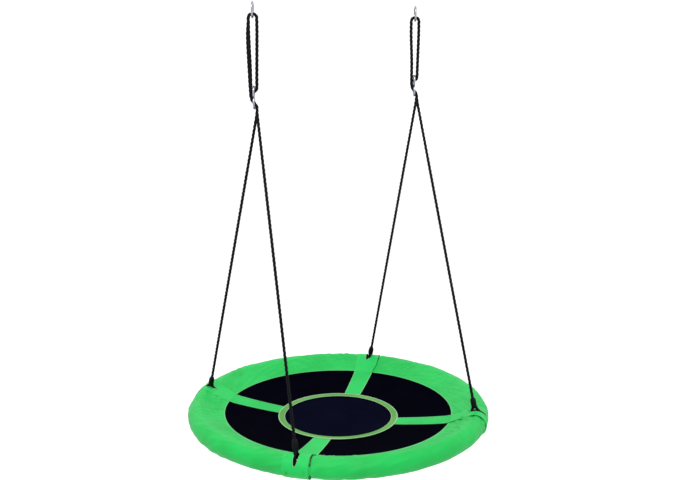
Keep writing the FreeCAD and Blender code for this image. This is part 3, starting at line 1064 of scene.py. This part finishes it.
def tape(name, line, width, material, closed=False, wall=1.0 * MM):
    """A crowned tape along a line of points, lying flat on the mat."""
    count = len(line)

    def place(u, v):
        index = round(v * (count - 1))
        before = line[max(index - 1, 0)]
        after = line[min(index + 1, count - 1)]
        if closed and index in (0, count - 1):
            before, after = line[-2], line[1]
        run = (after - before).normalized()
        side = run.cross(UP).normalized()
        crown = 0.7 * MM * (1 - (2 * u - 1) ** 2)
        return line[index] + side * (u - 0.5) * width + UP * crown

    piece = cloth(name, 6, count - 1, place, (width, length_of(line)))
    if closed:
        pick(piece)
        bpy.ops.object.mode_set(mode="EDIT")
        bpy.ops.mesh.select_all(action="SELECT")
        bpy.ops.mesh.remove_doubles(threshold=0.05 * MM)
        bpy.ops.object.mode_set(mode="OBJECT")
    thicken(piece, wall)
    smooth(piece, 60)
    dress(piece, material)
    return piece


BAND_RISE = 4.6 * MM
BINDING_RISE = 4.4 * MM
BINDING_STEPS = 60


def circle(radius, rise):
    """A full circle over the mat, closed on its first point."""
    height = mat_height(radius) + rise
    return [polar(radius, math.radians(number * 2), height) for number in range(181)]


band = tape("centre_band_webbing", circle(BAND_MIDDLE, BAND_RISE), BAND_OUTER - BAND_INNER, band_webbing,
            closed=True, wall=1.8 * MM)
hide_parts("centre_band")

for label, radius in (("inner", BAND_INNER), ("outer", BAND_OUTER)):
    tape(f"band_binding_{label}", circle(radius, BINDING_RISE), 3.2 * MM, binding_cloth,
         closed=True)

for corner, degrees in CORNERS.items():
    for label, sign in (("a", -1), ("b", 1)):
        line = []
        for step in range(BINDING_STEPS + 1):
            radius = BAND_OUTER + (FLAP_EDGE + 4 * MM - BAND_OUTER) * step / BINDING_STEPS
            across = sign * (strap_half(radius) - 0.6 * MM)
            line.append(strap_point(degrees, across, radius, strap_rise(radius) + 0.4 * MM))
        tape(f"strap_binding_{corner}_{label}", line, 3.4 * MM, seam_cloth)

for number, angle in enumerate(CORNERS.values(), start=1):
    inset = (STRAP_HALF - 2 * MM) / FLAP_EDGE
    begin = math.radians(angle) + inset
    sweep = math.radians(90) - 2 * inset
    height = mat_height(FLAP_EDGE) + SEAM_LIFT + 0.6 * MM
    line = [polar(FLAP_EDGE - 0.5 * MM, begin + sweep * step / 120, height) for step in range(121)]
    tape(f"flap_binding_{number}", line, 4.2 * MM, seam_cloth)
print("bindings laid")

# %% [markdown]
# ## Stitching
# Two rows of stitches hold each of a patch's two hems. One stitch is a small rounded bar; a row
# repeats it along a line, with the thread lying on the cloth.

# %% Stitches


def stitch_row(name, places, material, long=3.2 * MM, thick=0.9 * MM):
    """Short raised bars along a line; places are (point, direction, outward) triples."""
    mesh = bpy.data.meshes.new(name)
    piece = bpy.data.objects.new(name, mesh)
    bpy.context.scene.collection.objects.link(piece)
    shape = bmesh.new()
    for point, run, away in places:
        side = run.cross(away).normalized()
        rings = []
        for along, swell in ((-0.5, 0.45), (-0.3, 1.0), (0.3, 1.0), (0.5, 0.45)):
            ring = []
            for corner in range(6):
                around = math.pi / 3 * corner
                out = side * math.cos(around) + away * math.sin(around) * 0.8
                ring.append(shape.verts.new(point + run * along * long + out * thick / 2 * swell))
            rings.append(ring)
        for first, second in zip(rings, rings[1:]):
            for corner in range(6):
                after = (corner + 1) % 6
                shape.faces.new((first[corner], first[after], second[after], second[corner]))
        shape.faces.new(rings[0][::-1])
        shape.faces.new(rings[-1])
    bmesh.ops.recalc_face_normals(shape, faces=shape.faces)
    shape.to_mesh(mesh)
    shape.free()
    smooth(piece, 60)
    dress(piece, material)
    return piece


STITCH_STEP = 5.4 * MM


def patch_stitches(corner):
    """Rows of stitches just inside a patch's two hems."""
    tube_centre = polar(RIM_RADIUS, math.radians(CORNERS[corner]), RIM_Z)
    places = []
    steps = round(PATCH_LENGTH / STITCH_STEP)
    for sign in (-1, 1):
        for inset in (4 * MM, 8 * MM):
            for number in range(2, steps - 1):
                share = number / steps
                across = sign * (patch_width(share) - inset)
                here = patch_point(corner, across, share)
                ahead = patch_point(corner, across, share + 0.4 / steps)
                beside = patch_point(corner, across + 1 * MM, share)
                run = (ahead - here).normalized()
                away = (beside - here).cross(run).normalized()
                if away.dot(here - tube_centre) < 0:
                    away = -away
                places.append((here + away * 0.1 * MM, run, away))
    return stitch_row("patch_stitches_" + corner, places, thread)


for corner in CORNERS:
    print(patch_stitches(corner).name, "made")

# %% [markdown]
# A thin twisted cord goes round each slot's edge, as the overlocked edge of a buttonhole does.

# %% Slot borders


def slot_border(corner):
    """The overlocked border of a patch's slot: a cord laid round its edge."""
    low, high = SLOT_SPAN
    shares = [low + (high - low) * step / 40 for step in range(41)]
    edge = [(slot_half(share), share) for share in shares]
    edge += [(-slot_half(share), share) for share in reversed(shares)]
    line = [patch_point(corner, across, share, lift=-PATCH_WALL / 2) for across, share in edge]
    line.append(line[0])
    border = twisted_rope("slot_border_" + corner, evenly(line, 1.2 * MM), diameter=2.2 * MM, lay=1.2)
    dress(border, binding_cloth)
    return border


for corner in CORNERS:
    print(slot_border(corner).name, "made")

# %% [markdown]
# ## Floor and light
# A pale floor lies well below the hanging swing. Three large soft lights and a bright sky keep the
# shadows gentle, with the strongest light from above and in front.

# %% Floor
FLOOR_DROP = 1.2
PALE = (0.85, 0.85, 0.85)
PALER = (0.88, 0.88, 0.88)
deselect()
bpy.ops.mesh.primitive_plane_add(size=30, location=(0, 0, RIM_Z - FLOOR_DROP))
floor = bpy.context.object
floor.name = "floor"
floor_material, floor_nodes, floor_links, floor_shader = new_material("pale_floor", 0.9, specular=0.1)
tone = noise_value(floor_nodes, floor_links, mapped(floor_nodes, floor_links, "Object", (1, 1, 1)), 0.6)
shade = ramp(floor_nodes, floor_links, tone, [(0.3, PALE), (0.7, PALER)])
floor_links.new(shade, floor_shader.inputs["Base Color"])
floor.data.materials.append(floor_material)
print("floor at", round(floor.location.z, 3))

# %% [markdown]
# The key light is above and in front, a little left. The fill softens the right side, and a light
# from behind draws the rim's far edge.

# %% Lights
SKY = 1.22


def soft_light(name, place, aim, power, size):
    """A square area light aimed at a point."""
    data = bpy.data.lights.new(name, "AREA")
    data.energy = power
    data.size = size
    lamp = bpy.data.objects.new(name, data)
    bpy.context.scene.collection.objects.link(lamp)
    lamp.location = place
    lamp.rotation_euler = (Vector(aim) - Vector(place)).to_track_quat("-Z", "Y").to_euler()
    return lamp


SWING_MIDDLE = (0, 0, RIM_Z + 0.2)
soft_light("key_light", (-1.4, -1.8, 2.4), SWING_MIDDLE, 120, 1.4)
soft_light("fill_light", (3.0, -1.6, 0.8), SWING_MIDDLE, 18, 2.6)
soft_light("rim_light", (0.6, 3.2, 2.0), SWING_MIDDLE, 25, 2.6)
world = bpy.data.worlds.new("studio")
world.use_nodes = True
world.node_tree.nodes["Background"].inputs["Color"].default_value = (1, 1, 1, 1)
world.node_tree.nodes["Background"].inputs["Strength"].default_value = SKY
bpy.context.scene.world = world
bpy.context.scene.view_settings.view_transform = "Standard"
print("three soft lights and a sky of", SKY)
